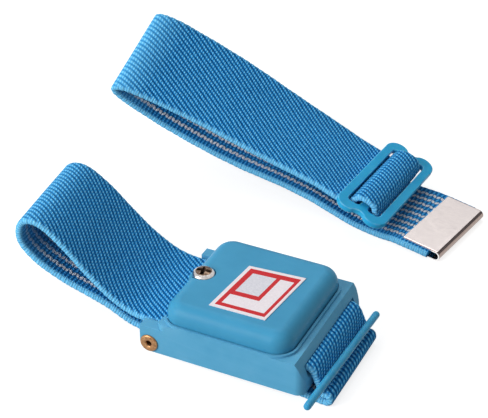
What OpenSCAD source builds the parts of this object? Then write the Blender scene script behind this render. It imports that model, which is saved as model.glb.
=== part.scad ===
// Wrist strap for static discharge, with its housing, and a spare band beside it.
// Millimetres, +Z up, the table is z = 0. The strap and the spare band each have a frame of their own:
// in both, +X runs along the band, from the loop's far fold towards the housing's slot or the end clip.

/* [Band] */
// Width of the elastic band
band_w = 24; // [20:0.5:25]
// Thickness of the elastic band
band_t = 1.5; // [1.2:0.1:1.7]
// Gap kept between soft band and its neighbours
band_gap = 0.3; // [0.2:0.05:0.4]

/* [Loops] */
// Reach of the strap's loop past the anchor pin
strap_loop = 32.4; // [31:0.2:36]
// Reach of the spare band's loop past its slider
spare_loop = 62.4; // [60:0.2:68]

/* [Housing base] */
// Length of the base along the band, without its ears
base_l = 32.5; // [32:0.1:33.5]
// Width of the base across the band
base_w = 30; // [29.5:0.1:33]
// Height of the base up to the seam
base_h = 7.4; // [7.2:0.1:8.5]
// Radius of the base's upright corners
base_r = 2; // [1.5:0.1:3]
// How far the right end leans outwards from its brow to its chin
end_lean = 1.8; // [1.2:0.1:2.4]
// Thickness of the base's floor
floor_t = 1.3; // [1.2:0.1:1.6]
// Height of the band's centre where it passes through the housing
band_z = 4.7; // [4.6:0.1:5]
// Height of the raised lip around the cover
lip_h = 0.5; // [0.3:0.1:0.8]
// Width of the raised lip around the cover
lip_w = 0.5; // [0.4:0.1:0.6]

/* [Housing cover] */
// Length of the cover along the band
cover_l = 27.6; // [27:0.2:28.4]
// Height of the cover above the seam
cover_h = 4.5; // [4.2:0.1:6]
// Radius of the cover's rounded top edge
cover_fillet = 3; // [2:0.1:3.2]
// Radius of the cover's upright corners
cover_r = 4; // [3.5:0.1:5]
// Wall of the cover
cover_wall = 1.3; // [1:0.1:1.6]
// Gap between the cover and the lip around it
seam_gap = 0.25; // [0.15:0.05:0.3]
// Depth of the cover's spigot inside the base
spigot_d = 1.2; // [0.8:0.1:1.4]

/* [Label] */
// Size of the label along the band
label_l = 12.3; // [10:0.1:14]
// Size of the label across the band
label_w = 16; // [10:0.1:16.4]
// Thickness of the label
label_t = 0.15; // [0.1:0.05:0.3]
// Turn of the label, as it was stuck on
label_turn = -1; // [-6:0.5:6]
// Distance of the label's centre from the cover's centre along the band
label_x = 1.9; // [0:0.1:3]
// Distance of the label's centre from the cover's centre across the band
label_y = -2.2; // [-3:0.1:3]

/* [Contact screw] */
// Radius of the screw's pan head
screw_head_r = 2.4; // [2:0.05:2.6]
// Height of the screw's pan head
screw_head_h = 2; // [1.2:0.1:2.2]
// Radius of the screw's shank
screw_r = 1.25; // [1:0.05:1.4]
// Distance from the cover's left edge to the screw
screw_inset = 2.9; // [2.8:0.1:3.6]
// Place of the screw across the band
screw_y = -0.9; // [-1.5:0.1:1.5]
// Depth of the screw head's seat in the cover
seat_d = 1.2; // [0.4:0.1:1.4]
// Width of the cross recess's arms
recess_w = 0.7; // [0.5:0.05:0.8]
// Depth of the cross recess
recess_d = 0.9; // [0.5:0.1:1]
// Width across flats of the nut in the base
nut_af = 5; // [4:0.1:5.5]
// Thickness of the nut
nut_t = 1.6; // [1.2:0.1:1.8]

/* [Contact plate and resistor] */
// Length of the skin contact plate
plate_l = 20; // [16:0.5:22]
// Width of the skin contact plate
plate_w = 20; // [16:0.5:24]
// Thickness of the skin contact plate
plate_t = 0.6; // [0.4:0.1:0.7]
// Radius of the plate rivet's shank
rivet_r = 0.8; // [0.6:0.1:1]
// Radius of the plate rivet's head
rivet_head_r = 1.5; // [1.2:0.1:1.8]
// Radius of the resistor's body
resistor_r = 0.85; // [0.7:0.05:0.9]
// Length of the resistor's body
resistor_l = 3.6; // [3:0.1:4]
// Radius of the resistor's leads
lead_r = 0.25; // [0.2:0.05:0.3]
// Outer radius of the ring terminal
ring_r = 2.4; // [2:0.1:2.6]
// Thickness of the ring terminal
ring_t = 0.35; // [0.3:0.05:0.5]

/* [Anchor pin and end clips] */
// Outer radius of the hollow anchor pin
pin_r = 0.85; // [0.8:0.05:1.2]
// Radius of the hole through the anchor pin
pin_hole_r = 0.6; // [0.5:0.05:0.65]
// Radius of the pin's flared ends
pin_head_r = 2.05; // [1.6:0.05:2.1]
// Thickness of the pin's flared ends
pin_head_t = 0.5; // [0.3:0.1:0.8]
// Height of the pin above the base's underside
pin_z = 2.1; // [2.1:0.1:2.2]
// Distance of the pin from the base's left wall
pin_out = 1.9; // [1.7:0.1:2.4]
// Running clearance between the pin and what it passes through
pin_clear = 0.05; // [0.03:0.01:0.08]
// Thickness of the clip's sheet metal
clip_sheet = 0.3; // [0.3:0.05:0.5]
// Length of the spare clip's plates from the middle of its channel
clip_l = 8.3; // [6.3:0.5:9.3]
// Length of the strap clip's plates from the middle of its channel
strap_clip_l = 4; // [3.5:0.1:5]
// Width of the clips across the band
clip_w = 21.4; // [19:0.1:24]
// Opening of the rolled channel towards the plates
clip_mouth = 1.1; // [0.8:0.1:1.2]

/* [Strap bar] */
// Length of the bar that lies across the strap
bar_l = 35.8; // [32:0.2:38]
// Thickness of the bar
bar_t = 1.6; // [1.4:0.1:1.6]
// How far the bar sits off centre across the band
bar_y = -2.9; // [-3:0.1:2]
// Turn of the bar against the strap
bar_turn = 2.4; // [0:0.2:4]
// Travel of the bar up the strap
bar_travel = 2.2; // [1:0.1:2.4]

/* [Slider] */
// Length of the slider across the band
slider_l = 31; // [30.6:0.2:36]
// Width of the slider along the band
slider_w = 12.6; // [12:0.1:14]
// Thickness of the slider
slider_t = 1.4; // [1.2:0.1:1.6]
// Width of each of its three bars
slider_bar = 2.1; // [1.8:0.1:2.3]
// How far the side rails are waisted in
slider_waist = 1.3; // [0.8:0.1:1.5]
// Distance of the slider from the channel of the spare band's clip, along X
slider_from_clip = 19.9; // [18.8:0.1:21]

/* [Pose on the table] */
// Angle at which the strap's fold lifts the housing's right end
housing_pitch = 5.3; // [5:0.1:6]
// Place of the housing's middle from the object's centre line, along X
strap_x = 16.4; // [10:0.1:20]
// Place of the housing's middle from the object's centre line, along Y
strap_y = -26.5; // [-30:0.1:-22]
// Place of the spare band's reference line along X
spare_x = 15.2; // [10:0.1:20]
// Place of the spare band's centre line along Y
spare_y = 31.9; // [28:0.1:40]
// Turn of the spare band about Z
spare_turn = -4; // [-6:0.5:5]
// Roll of the spare band at its left fold
spare_roll = 23.6; // [0:0.2:30]
// Sideways bend of the spare band at its left fold
spare_sway = 10.4; // [0:0.2:12]
// Turn of the spare band's clip against the band
clip_turn = 5; // [0:0.5:8]

/* [Hidden] */
$fn = 48;
eps = 0.01;
// How far a cut reaches past what it cuts.
past = 1;

// Housing frame: origin under the middle of the base, on its underside.
base_x0 = -15.8;
base_x1 = base_x0 + base_l;
chin_z = 1.8;
chin_in = 0.6;
brow_drop = 1.1;
brow_in = 0.7;
lean_angle = atan2(end_lean, base_h - brow_drop - chin_z);
pin_x = base_x0 - pin_out;
ear_h = 5.9;
side_gap = 0.4;
channel_w = band_w + 2 * side_gap;
channel_gap = 0.2;
channel_z0 = band_z - band_t / 2 - channel_gap;
channel_z1 = band_z + band_t / 2 + channel_gap;
wall = 1.5;
fit_gap = 0.1;

cover_x0 = base_x0 + lip_w;
cover_cx = cover_x0 + cover_l / 2;
cover_w = base_w - 2 * (lip_w + seam_gap);
cover_top = base_h + cover_h;
cover_hull_fn = 32;
dome_foot = 0.5;
spigot_x0 = cover_x0 + wall;
spigot_x1 = cover_x0 + cover_l - wall;
spigot_w = channel_w - 2 * fit_gap;
apron_z = band_z + band_t / 2 + band_gap;
boss_r = 3.1;

screw_x = cover_x0 + screw_inset;
seat_z = cover_top - seat_d;
screw_rim_h = 0.9;
recess_share = 0.62;
shank_clear = 0.05;
nut_z = channel_z0 - ring_t - nut_t;
nut_r = nut_af / 2 / cos(30);
screw_end_past = 0.2;
screw_end_z = nut_z - screw_end_past;
pocket_depth = channel_z0 - nut_z + eps;
tongue_l = 5.6;
tongue_w = 2.2;

cavity_wall = 0.5;
end_wall = 3.5;
cavity_x0 = screw_x + nut_r + cavity_wall;
cavity_x1 = base_x1 - end_lean - end_wall;
cavity_w = 19;
plate_x = 1.5;
rivet_in = 3.5;
rivet_x = plate_x + rivet_in;
rivet_head_t = 0.5;
resistor_z = floor_t + resistor_r + fit_gap;
resistor_x = (screw_x + tongue_l + rivet_x) / 2;
lead_x0 = screw_x + tongue_l - lead_r;

// Ends of the band: rolled channel centre to the band's cut end.
clip_out_r = pin_r + pin_clear + clip_sheet;
band_end_gap = 0.35;
band_end = clip_out_r + band_end_gap;
strap_clip_tilt = 5;

// Lower lip of the slot in the right end.
lip_x = base_x1 - (channel_z0 - chin_z) * tan(lean_angle);
lip_ease_l = 1.5;
lip_ease_d = 1;

// Points down the housing's leaning right end.
function lean_down(d) = [base_x1 + d * sin(lean_angle), chin_z - d * cos(lean_angle)];
lean_out = [cos(lean_angle), sin(lean_angle)];
face_gap = 0.15;
bar_drop = 0.7;
bar_at = lean_down(bar_drop) + lean_out * (face_gap + band_t + band_gap + bar_t / 2);

// Height, in the housing's frame, of a band's middle that lies on the table.
function table_z(x) = pin_z
  + (band_t / 2 - pin_z - (x - pin_x) * sin(housing_pitch)) / cos(housing_pitch);
fold_x = 20.4;
fold_gap = 0.4;
fold_lead = 3;
drape_end = 2.6;
drape_ease = 0.2;
// The tail ends before the contact plate, which stays bare for the skin.
tail_gap = 1;
tail_x = plate_x + plate_l / 2 + tail_gap;
fold_z = table_z(fold_x) + band_t + fold_gap;

// Middle of the strap's band, from the end clip round the loop, through the housing and round the bar.
// The loop's points were set out for a reach of drawn_strap_loop.
drawn_strap_loop = 32.4;
strap_stretch = strap_loop / drawn_strap_loop;
function strap_point(x, z) = [pin_x + (x - pin_x) * strap_stretch, z];
function strap_clip_point(d) = [pin_x - d * cos(strap_clip_tilt), pin_z + d * sin(strap_clip_tilt)];
strap_path = [
  strap_clip_point(band_end),
  strap_clip_point(strap_clip_l + 1),
  strap_point(-26, 3.9),
  strap_point(-30.3, 6),
  strap_point(-37.1, 8),
  strap_point(-43.1, 10.5),
  strap_point(-47.5, 13.5),
  strap_point(-50.1, 16.8),
  strap_point(-49.4, 21.4),
  strap_point(-45.4, 22.2),
  strap_point(-40.2, 18.3),
  strap_point(-34.7, 12.7),
  strap_point(-29.6, 8.3),
  strap_point(-24.6, 5.5),
  [pin_x - 2, band_z],
  [base_x1 - end_lean - 0.6, band_z],
  [base_x1 + (chin_z - band_z) * tan(lean_angle) + (face_gap + band_t / 2) / cos(lean_angle), band_z],
  lean_down(bar_drop) + lean_out * (face_gap + band_t / 2),
  lean_down(drape_end) + lean_out * (face_gap + band_t / 2 + drape_ease),
  [fold_x - 1.8, fold_z],
  [fold_x, fold_z],
  [fold_x, table_z(fold_x)],
  [fold_x - fold_lead, table_z(fold_x - fold_lead)],
  [tail_x, table_z(tail_x)]
];

// Spare band frame: +X towards its clip, the band's middle line at y = 0, the table at z = 0.
spare_clip_x = 25.1;
clip_z = clip_out_r;
spare_slider_x = spare_clip_x - slider_from_clip;
run_angle = 14;
run_z = 4.8;
slider_gap = 0.35;
run_after = 3.4;
run_before = 21.6;
function run_point(d) = [spare_slider_x + d * cos(run_angle), run_z - d * sin(run_angle)];
// The loop's points were set out for a reach of drawn_spare_loop.
drawn_spare_loop = 62.4;
spare_stretch = spare_loop / drawn_spare_loop;
function spare_point(x, z) = [spare_slider_x + (x - spare_slider_x) * spare_stretch, z];
spare_path = [
  [spare_clip_x - band_end, clip_z],
  [spare_clip_x - clip_l - 1.5, clip_z],
  [11, band_t / 2],
  [4, band_t / 2 + 0.1],
  spare_point(-4.7, 2.8),
  spare_point(-15.5, 5.2),
  spare_point(-25.8, 6.7),
  spare_point(-36.4, 9.8),
  spare_point(-46.1, 14.4),
  spare_point(-51.8, 18.5),
  spare_point(-55.8, 21.9),
  spare_point(-57.2, 25.3),
  spare_point(-53.6, 25.6),
  spare_point(-46.4, 22.2),
  spare_point(-36, 17.7),
  spare_point(-25.7, 13.3),
  run_point(-run_before),
  run_point(0),
  run_point(run_after)
];

// Left of x0 a band rolls, bends sideways and runs askew, in proportion to how far past x0 it is.
strap_twist = [pin_x - 5.3 * strap_stretch, 29 * strap_stretch, 0, 1.7, 0.12, 0, 0];
spare_twist = [spare_slider_x - 12.2 * spare_stretch, 50 * spare_stretch, spare_roll, spare_sway, 0.08, 4.3, 18];
function twisted(v, k) =
  let (s = max(0, k[0] - v[0]) / k[1], a = k[2] * s, z0 = k[5] + k[6] * s, h = v[2] - z0)
  [v[0] - k[4] * v[1] * s, v[1] * cos(a) - h * sin(a) - k[3] * s * s, z0 + v[1] * sin(a) + h * cos(a)];

// Past the slider the spare band turns flat on the table until it lines up with its clip.
turn_x0 = 11;
turn_x1 = 16;
turn_pivot = (turn_x0 + turn_x1) / 2;
function turned(v) =
  let (q = max(0, min(1, (v[0] - turn_x0) / (turn_x1 - turn_x0))), a = -clip_turn * q, x = v[0] - turn_pivot)
  [turn_pivot + x * cos(a) - v[1] * sin(a), x * sin(a) + v[1] * cos(a), v[2]];

// Slider outline and the band's wrap over its middle bar, in the slider's own frame.
rail_gap = 0.6;
rail_in = band_w / 2 + rail_gap;
// Each side rail is two round lobes with a hollow between them that runs on from their curves.
lobe_r = 3;
slot_r = 1;
lobe_x = slider_w / 2 - lobe_r;
lobe_y = slider_l / 2 - lobe_r;
waist_r = (lobe_x * lobe_x + slider_waist * slider_waist) / (2 * slider_waist) - lobe_r;
waist_y = slider_l / 2 - slider_waist + waist_r;
blend_share = lobe_r / (lobe_r + waist_r);
blend_x = lobe_x * (1 - blend_share);
blend_y = lobe_y + (waist_y - lobe_y) * blend_share;
slider_lift = band_t / 2 + slider_gap + slider_t / 2;
wrap_x = (slider_w - slider_bar) / 4;
wrap_top = slider_t / 2 + band_gap + band_t / 2;
wrap_foot = -0.3;
wrap_path = [
  [-wrap_x - 0.5, wrap_foot],
  [-wrap_x + 0.1, wrap_foot + 1.2],
  [-wrap_x + 0.7, wrap_top],
  [0, wrap_top + 0.35],
  [wrap_x - 0.7, wrap_top],
  [wrap_x - 0.1, wrap_foot + 1.2],
  [wrap_x + 0.5, wrap_foot]
];

// Frames

module on_strap() {
  translate([strap_x + pin_x, strap_y, pin_z])
    rotate([0, -housing_pitch, 0])
      translate([-pin_x, 0, -pin_z])
        children();
}

module on_spare() {
  translate([spare_x, spare_y, 0])
    rotate([0, 0, spare_turn])
      children();
}

module on_slider() {
  translate([spare_slider_x, 0, run_z])
    rotate([0, run_angle, 0])
      translate([0, 0, slider_lift])
        children();
}

// Shared shapes

// Cylinder along Y, centred on y = 0.
module rod_y(r, l) {
  rotate([90, 0, 0])
    cylinder(r = r, h = l, center = true);
}

// Flat rounded rectangle, centred.
module rounded_rect(l, w, r) {
  square([l - 2 * r, w], center = true);
  square([l, w - 2 * r], center = true);
  for (sx = [-1, 1])
    for (sy = [-1, 1])
      translate([sx * (l / 2 - r), sy * (w / 2 - r)])
        circle(r = r);
}

// Points of a smooth curve that a chain of control points draws.
function midpoint(a, b) = (a + b) / 2;
function bend(a, b, c, t) = (1 - t) * (1 - t) * a + 2 * t * (1 - t) * b + t * t * c;
function smooth(p, steps) = concat(
  [p[0]],
  [for (i = [1 : len(p) - 2])
    for (k = [0 : steps - 1])
      bend(midpoint(p[i - 1], p[i]), p[i], midpoint(p[i], p[i + 1]), k / steps)],
  [midpoint(p[len(p) - 2], p[len(p) - 1]), p[len(p) - 1]]
);

// Corners of the band's cross-section at point i of its curve.
function band_normal(c, i) =
  let (t = c[min(i + 1, len(c) - 1)] - c[max(i - 1, 0)])
  [-t[1], t[0]] / norm(t);
function band_ring(c, i, w, t) =
  let (n = band_normal(c, i) * t / 2)
  [[c[i][0] + n[0], w / 2, c[i][1] + n[1]], [c[i][0] + n[0], -w / 2, c[i][1] + n[1]],
   [c[i][0] - n[0], -w / 2, c[i][1] - n[1]], [c[i][0] - n[0], w / 2, c[i][1] - n[1]]];

// A band of width w and thickness t along a path in the XZ plane.
module band(path, steps, w, t, twist = [0, 1, 0, 0, 0, 0, 0], turn = false) {
  c = smooth(path, steps);
  n = len(c);
  points = [for (i = [0 : n - 1]) for (v = band_ring(c, i, w, t))
    turn ? turned(twisted(v, twist)) : twisted(v, twist)];
  m = len(band_ring(c, 0, w, t));
  last = m * (n - 1);
  sides = [for (i = [0 : n - 2]) for (k = [0 : m - 1])
    let (a = m * i + k, b = m * i + (k + 1) % m)
    each [[a, b + m, b], [a, a + m, b + m]]];
  ends = [[for (k = [0 : m - 1]) k], [for (k = [m - 1 : -1 : 0]) last + k]];
  polyhedron(points, concat(sides, ends));
}

// Folded sheet clip: its rolled channel lies on the Y axis and its plates run along -X.
module end_clip(plates_l) {
  bore = pin_r + pin_clear;
  difference() {
    union() {
      rod_y(clip_out_r, clip_w);
      translate([-plates_l / 2, 0, 0])
        cube([plates_l, clip_w, 2 * clip_out_r], center = true);
    }
    rod_y(bore, clip_w + past);
    translate([-clip_out_r / 2, 0, 0])
      cube([clip_out_r, clip_w + past, clip_mouth], center = true);
    translate([-clip_out_r - plates_l / 2, 0, 0])
      cube([plates_l, clip_w + past, 2 * bore], center = true);
  }
}

// Strap with its housing

module base_blank() {
  profile = [[base_x0, 0], [base_x1 - chin_in, 0], [base_x1, chin_z],
    [base_x1 - end_lean, base_h - brow_drop], [base_x1 - end_lean - brow_in, base_h], [base_x0, base_h]];
  intersection() {
    rotate([90, 0, 0])
      linear_extrude(base_w + past, center = true)
        polygon(profile);
    linear_extrude(base_h)
      rounded_rect(base_l, base_w, base_r);
  }
}

module base_lip() {
  translate([cover_cx, 0, base_h - eps])
    linear_extrude(lip_h + eps)
      difference() {
        rounded_rect(cover_l + 2 * (seam_gap + lip_w), base_w, cover_r + seam_gap + lip_w);
        rounded_rect(cover_l + 2 * seam_gap, cover_w + 2 * seam_gap, cover_r + seam_gap);
        translate([-cover_l / 2 - past, 0])
          square([2 * past, channel_w], center = true);
      }
}

module ears() {
  ear_w = (base_w - channel_w) / 2;
  for (side = [-1, 1])
    translate([0, side * (channel_w + ear_w) / 2, 0]) {
      translate([pin_x, 0, pin_z])
        rod_y(pin_z, ear_w);
      translate([pin_x - pin_z, -ear_w / 2, pin_z])
        cube([base_x0 + base_r - pin_x + pin_z, ear_w, ear_h - pin_z]);
      translate([pin_x, -ear_w / 2, 0])
        cube([base_x0 + base_r - pin_x, ear_w, ear_h]);
    }
}

module base_cuts() {
  // Way for the band: open above up to the cover, a slot in the leaning right end.
  translate([base_x0 - past, -channel_w / 2, channel_z0])
    cube([spigot_x1 - base_x0 + past, channel_w, base_h - channel_z0 + past]);
  translate([0, -channel_w / 2, channel_z0])
    cube([base_x1 + past, channel_w, channel_z1 - channel_z0]);
  // Eased lower lip of the slot, over which the band turns down.
  rotate([90, 0, 0])
    linear_extrude(channel_w, center = true)
      polygon([[lip_x - lip_ease_l, channel_z0 + eps], [lip_x + lip_ease_d, channel_z0 + eps],
        [lip_x + lip_ease_d, channel_z0 - lip_ease_d]]);
  // Pocket for the resistor and its leads.
  translate([cavity_x0, -cavity_w / 2, floor_t])
    cube([cavity_x1 - cavity_x0, cavity_w, channel_z0 - floor_t + eps]);
  // Seats for the ring terminal and its tongue, and for the nut.
  translate([screw_x, screw_y, channel_z0 - ring_t])
    cylinder(r = ring_r + fit_gap, h = ring_t + eps);
  translate([screw_x, screw_y - tongue_w / 2 - fit_gap, channel_z0 - ring_t])
    cube([cavity_x0 - screw_x + eps, tongue_w + 2 * fit_gap, ring_t + eps]);
  translate([screw_x, screw_y, nut_z])
    cylinder(r = nut_r + fit_gap, h = pocket_depth, $fn = 6);
  translate([screw_x, screw_y, screw_end_z - fit_gap])
    cylinder(r = screw_r + shank_clear, h = base_h);
  // Recess of the contact plate and the hole of its rivet.
  translate([plate_x, 0, (plate_t - past) / 2])
    cube([plate_l + 2 * fit_gap, plate_w + 2 * fit_gap, plate_t + past], center = true);
  translate([rivet_x, screw_y, 0])
    cylinder(r = rivet_r + pin_clear, h = floor_t + past);
  // Bore of the anchor pin through both ears.
  translate([pin_x, 0, pin_z])
    rod_y(pin_r + pin_clear, base_w + past);
}

module housing_base() {
  color("steelblue")
    on_strap()
      difference() {
        union() {
          base_blank();
          base_lip();
          ears();
        }
        base_cuts();
      }
}

// Rounded dome of the cover, shrunk by a wall.
module cover_dome(shrink, h) {
  r = cover_r - shrink;
  f = cover_fillet - shrink;
  hull()
    for (sx = [-1, 1])
      for (sy = [-1, 1])
        translate([sx * (cover_l / 2 - cover_r), sy * (cover_w / 2 - cover_r), 0]) {
          cylinder(r = r, h = dome_foot, $fn = cover_hull_fn);
          translate([0, 0, h - f])
            rotate_extrude($fn = cover_hull_fn)
              translate([r - f, 0])
                intersection() {
                  circle(r = f, $fn = cover_hull_fn);
                  square(f);
                }
        }
}

module housing_cover() {
  color("steelblue")
    on_strap()
      difference() {
        union() {
          difference() {
            translate([cover_cx, 0, base_h])
              cover_dome(0, cover_h);
            cover_hollow();
          }
          spigot();
          translate([screw_x, screw_y, apron_z])
            cylinder(r = boss_r, h = cover_top - apron_z - cover_wall);
        }
        translate([screw_x, screw_y, 0])
          cylinder(r = screw_r + shank_clear, h = cover_top + past);
        translate([screw_x, screw_y, seat_z])
          cylinder(r = screw_head_r + fit_gap, h = seat_d + past);
      }
}

// Inside of the spigot, from below the cover up to its top.
module spigot_opening() {
  translate([spigot_x0 + cover_wall, -spigot_w / 2 + cover_wall, 0])
    cube([spigot_x1 - spigot_x0 - fit_gap - 2 * cover_wall, spigot_w - 2 * cover_wall, cover_top]);
}

// Hollow of the cover: full width above the flange that joins wall and spigot, the spigot's inside below it.
module cover_hollow() {
  intersection() {
    translate([cover_cx, 0, base_h - eps])
      cover_dome(cover_wall, cover_h - cover_wall);
    union() {
      translate([cover_x0, -cover_w / 2, base_h + cover_wall])
        cube([cover_l, cover_w, cover_h]);
      spigot_opening();
    }
  }
}

module spigot() {
  difference() {
    translate([spigot_x0, -spigot_w / 2, base_h - spigot_d])
      cube([spigot_x1 - spigot_x0 - fit_gap, spigot_w, spigot_d + cover_wall]);
    spigot_opening();
  }
  // Apron that closes the band's way in over the band.
  translate([spigot_x0, -spigot_w / 2, apron_z])
    cube([cover_wall, spigot_w, base_h - apron_z]);
}

module cover_label() {
  color("crimson")
    on_strap()
      translate([cover_cx + label_x, label_y, cover_top])
        rotate([0, 0, label_turn])
          linear_extrude(label_t)
            square([label_l, label_w], center = true);
}

module contact_screw() {
  dome = [for (a = [0 : 15 : 90])
    [screw_head_r * cos(a), screw_rim_h + (screw_head_h - screw_rim_h) * sin(a)]];
  color("silver")
    on_strap()
      translate([screw_x, screw_y, seat_z])
        difference() {
          union() {
            rotate_extrude()
              polygon(concat([[0, 0], [screw_head_r, 0]], dome));
            translate([0, 0, screw_end_z - seat_z])
              cylinder(r = screw_r, h = seat_z - screw_end_z + eps);
          }
          for (a = [0, 90])
            rotate([0, 0, a])
              translate([0, 0, screw_head_h])
                cube([2 * screw_head_r * recess_share, recess_w, 2 * recess_d], center = true);
        }
}

module screw_nut() {
  color("goldenrod")
    on_strap()
      translate([screw_x, screw_y, nut_z])
        difference() {
          cylinder(r = nut_r, h = nut_t, $fn = 6);
          translate([0, 0, -past])
            cylinder(r = screw_r + shank_clear, h = nut_t + 2 * past);
        }
}

module ring_terminal() {
  color("gainsboro")
    on_strap()
      translate([screw_x, screw_y, channel_z0 - ring_t])
        difference() {
          union() {
            cylinder(r = ring_r, h = ring_t);
            translate([0, -tongue_w / 2, 0])
              cube([tongue_l, tongue_w, ring_t]);
          }
          translate([0, 0, -past])
            cylinder(r = screw_r + shank_clear, h = ring_t + 2 * past);
        }
}

module resistor_body() {
  color("tan")
    on_strap()
      translate([resistor_x, screw_y, resistor_z])
        rotate([0, 90, 0])
          cylinder(r = resistor_r, h = resistor_l, center = true);
}

// Lead that leaves the resistor's end at x0, runs to x1 and turns up or down to height z1.
module lead(x0, x1, z1) {
  z_low = min(resistor_z, z1);
  translate([min(x0, x1), screw_y, resistor_z])
    rotate([0, 90, 0])
      cylinder(r = lead_r, h = abs(x1 - x0));
  translate([x1, screw_y, resistor_z])
    sphere(r = lead_r);
  translate([x1, screw_y, z_low])
    cylinder(r = lead_r, h = abs(z1 - resistor_z));
}

module resistor_leads() {
  color("silver")
    on_strap() {
      lead(resistor_x - resistor_l / 2, lead_x0, channel_z0 - ring_t);
      lead(resistor_x + resistor_l / 2, rivet_x, floor_t + rivet_head_t);
    }
}

module contact_plate() {
  color("lightgray")
    on_strap()
      difference() {
        translate([plate_x, 0, plate_t / 2])
          cube([plate_l, plate_w, plate_t], center = true);
        translate([rivet_x, screw_y, -past])
          cylinder(r = rivet_r + pin_clear, h = plate_t + 2 * past);
      }
}

module plate_rivet() {
  color("silver")
    on_strap()
      translate([rivet_x, screw_y, 0]) {
        cylinder(r = rivet_r, h = floor_t + eps);
        translate([0, 0, floor_t])
          cylinder(r = rivet_head_r, h = rivet_head_t);
      }
}

module anchor_pin() {
  color("darkgoldenrod")
    on_strap()
      translate([pin_x, 0, pin_z])
        difference() {
          union() {
            rod_y(pin_r, base_w);
            for (side = [-1, 1])
              translate([0, side * (base_w + pin_head_t) / 2, 0])
                rod_y(pin_head_r, pin_head_t);
          }
          rod_y(pin_hole_r, base_w + 4 * pin_head_t);
        }
}

module strap_end_clip() {
  color("silver")
    on_strap()
      translate([pin_x, 0, pin_z])
        rotate([0, strap_clip_tilt, 0])
          end_clip(strap_clip_l);
}

module strap_band() {
  color("dodgerblue")
    on_strap()
      difference() {
        band(strap_path, 4, band_w, band_t, strap_twist);
        translate([screw_x, screw_y, channel_z0 - past])
          cylinder(r = screw_r + band_gap, h = channel_z1 - channel_z0 + 2 * past);
      }
}

module strap_bar() {
  end_r = bar_t / 2;
  color("steelblue")
    on_strap()
      translate([bar_at[0], bar_y, bar_at[1]])
        rotate(a = -bar_turn, v = [lean_out[0], 0, lean_out[1]]) {
          rod_y(end_r, bar_l - bar_t);
          for (side = [-1, 1])
            translate([0, side * (bar_l - bar_t) / 2, 0])
              sphere(r = end_r);
        }
}

// Spare band beside the strap

module spare_band() {
  color("dodgerblue")
    on_spare()
      band(spare_path, 4, band_w, band_t, spare_twist, turn = true);
}

module spare_end_clip() {
  color("silver")
    on_spare()
      translate([turn_pivot, 0, clip_z])
        rotate([0, 0, -clip_turn])
          translate([spare_clip_x - turn_pivot, 0, 0])
            end_clip(clip_l);
}

module slider_outline() {
  slot_w = (slider_w - 3 * slider_bar) / 2;
  difference() {
    union() {
      square([slider_w, 2 * lobe_y], center = true);
      for (side = [-1, 1])
        for (end = [-1, 1])
          translate([side * lobe_x, end * lobe_y])
            circle(r = lobe_r);
      for (turn = [0, 180])
        rotate([0, 0, turn])
          polygon([
            [-lobe_x, lobe_y - eps],
            [lobe_x, lobe_y - eps],
            [blend_x, blend_y],
            [-blend_x, blend_y]
          ]);
    }
    for (side = [-1, 1])
      translate([side * (slider_bar + slot_w) / 2, 0])
        rounded_rect(slot_w, 2 * rail_in, slot_r);
    for (end = [-1, 1])
      translate([0, end * waist_y])
        circle(r = waist_r + fit_gap);
  }
}

module spare_slider() {
  color("deepskyblue")
    on_spare()
      on_slider()
        linear_extrude(slider_t, center = true)
          slider_outline();
}

module spare_band_wrap() {
  color("dodgerblue")
    on_spare()
      on_slider()
        band(wrap_path, 3, band_w, band_t);
}

housing_base();
housing_cover();
cover_label();
contact_screw();
screw_nut();
ring_terminal();
resistor_body();
resistor_leads();
contact_plate();
plate_rivet();
anchor_pin();
strap_end_clip();
strap_band();
strap_bar();
spare_band();
spare_end_clip();
spare_slider();
spare_band_wrap();
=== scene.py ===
import math

import bmesh
import bpy
import numpy as np
from mathutils import Matrix, Vector


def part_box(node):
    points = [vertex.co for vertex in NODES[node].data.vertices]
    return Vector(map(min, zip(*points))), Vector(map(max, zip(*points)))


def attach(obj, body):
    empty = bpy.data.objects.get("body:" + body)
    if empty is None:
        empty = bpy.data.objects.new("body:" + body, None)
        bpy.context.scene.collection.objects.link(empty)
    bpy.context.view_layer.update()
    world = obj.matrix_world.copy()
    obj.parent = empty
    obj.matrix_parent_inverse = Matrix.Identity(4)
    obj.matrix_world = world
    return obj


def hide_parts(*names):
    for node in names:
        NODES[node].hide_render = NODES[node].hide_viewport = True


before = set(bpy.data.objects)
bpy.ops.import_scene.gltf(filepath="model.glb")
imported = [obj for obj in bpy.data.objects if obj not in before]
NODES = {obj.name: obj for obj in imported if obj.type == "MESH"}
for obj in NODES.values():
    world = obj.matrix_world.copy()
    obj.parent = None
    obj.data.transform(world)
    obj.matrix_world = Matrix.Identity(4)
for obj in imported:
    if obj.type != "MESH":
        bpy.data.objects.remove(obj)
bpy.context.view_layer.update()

# Antistatic wrist strap with its housing, and a spare band with its slider and end clip beside it. The rigid parts keep
# their CAD shape or follow its numbers, and the bands are sheets along the CAD's paths.
scene = bpy.context.scene
MM = 0.001

# ---------------------------------------------------------------- the part's own numbers, in millimetres
# The housing frame: +X runs along the band towards the slot, +Z up, x = 0 near the housing's middle.
# The spare frame: the same, with +X towards the end clip.
BAND_W, BAND_T, BAND_GAP = 24.0, 1.5, 0.3
BAND_Z = 4.7
BAND_MID = BAND_W / 2

BASE_L, BASE_W, BASE_H = 32.5, 30.0, 7.4
BASE_X0 = -15.8
BASE_X1 = BASE_X0 + BASE_L
END_LEAN, BROW_DROP, CHIN_Z = 1.8, 1.1, 1.8
LEAN = math.atan2(END_LEAN, BASE_H - BROW_DROP - CHIN_Z)

PIN_X, PIN_Z = BASE_X0 - 1.9, 2.1
PIN_R, PIN_HOLE_R, PIN_HEAD_R, PIN_HEAD_T = 0.85, 0.6, 1.95, 0.5

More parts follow.
